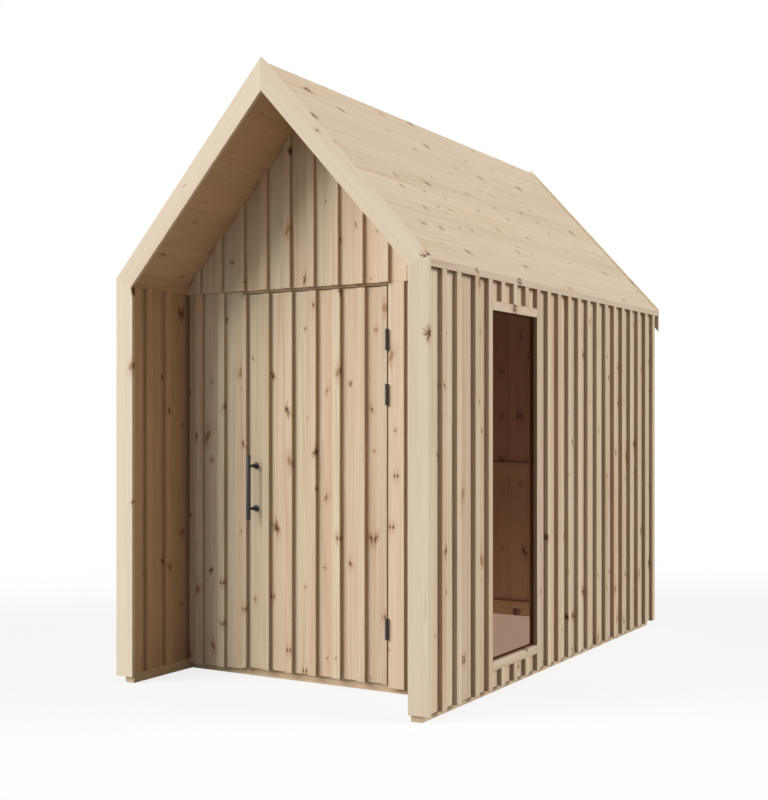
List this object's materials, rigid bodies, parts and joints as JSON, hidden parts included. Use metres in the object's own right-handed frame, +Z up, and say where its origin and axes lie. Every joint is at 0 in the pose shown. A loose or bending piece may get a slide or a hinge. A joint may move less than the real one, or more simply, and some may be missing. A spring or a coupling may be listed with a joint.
{
  "type": "wooden garden shed",
  "caption": "Steep gabled garden shed of pale softwood with an open porch, an upright boarded door, batten cladding and a tall fixed side window.",
  "frame": {"origin": "middle of the shed's footprint, on the ground", "axes": "+Z up, +Y from the porch towards the rear gable, +X towards the side with the window"},
  "size_m": [1.71, 3.008, 2.8859],
  "materials": {
    "sill_wood": "sawn, unpainted",
    "facing_wood": "planed, unpainted",
    "frame_wood": "planed, unpainted",
    "cladding_wood": "fine sawn, unpainted",
    "roof_wood": "planed, unpainted",
    "glass": "bronze tint, smooth",
    "glazing_frame": "planed, unpainted",
    "door_wood": "fine sawn, unpainted",
    "black_metal": "powder coated, satin"
  },
  "bodies": {
    "shed": {"sill_left": "sill_wood", "sill_right": "sill_wood", "sill_front": "sill_wood", "sill_rear": "sill_wood", "facing_post_left": "facing_wood", "facing_post_right": "facing_wood", "facing_rafter_left": "facing_wood", "facing_rafter_right": "facing_wood", "barge_board_left": "facing_wood", "barge_board_right": "facing_wood", "left_wall": "frame_wood", "right_wall_front": "frame_wood", "right_wall_rear": "frame_wood", "right_wall_below_window": "frame_wood", "right_wall_above_window": "frame_wood", "rear_wall": "frame_wood", "front_wall_left": "frame_wood", "front_wall_right": "frame_wood", "door_header": "frame_wood", "front_gable": "frame_wood", "roof_frame_left": "frame_wood", "roof_frame_right": "frame_wood", "head_strip": "cladding_wood", "left_cladding": "cladding_wood", "right_cladding_front": "cladding_wood", "right_cladding_rear": "cladding_wood", "right_cladding_below_window": "cladding_wood", "right_cladding_above_window": "cladding_wood", "rear_cladding": "cladding_wood", "front_cladding_left": "cladding_wood", "front_cladding_right": "cladding_wood", "gable_cladding": "cladding_wood", "roof_boards_left": "roof_wood", "roof_boards_right": "roof_wood", "window_glass": "glass", "window_glazing_frame": "glazing_frame", "hinge_leaves_frame": "black_metal"},
    "door": {"door_boards": "door_wood", "door_battens": "door_wood", "door_ledges": "door_wood", "door_handle": "black_metal", "hinge_leaves_door": "black_metal"}
  },
  "joints": [
    {"name": "door_hinge", "type": "hinge", "parent": "shed", "child": "door", "pos_m": [0.417, -1.099, 0], "axis": [0, 0, 1], "range_deg": [0, 105]}
  ]
}
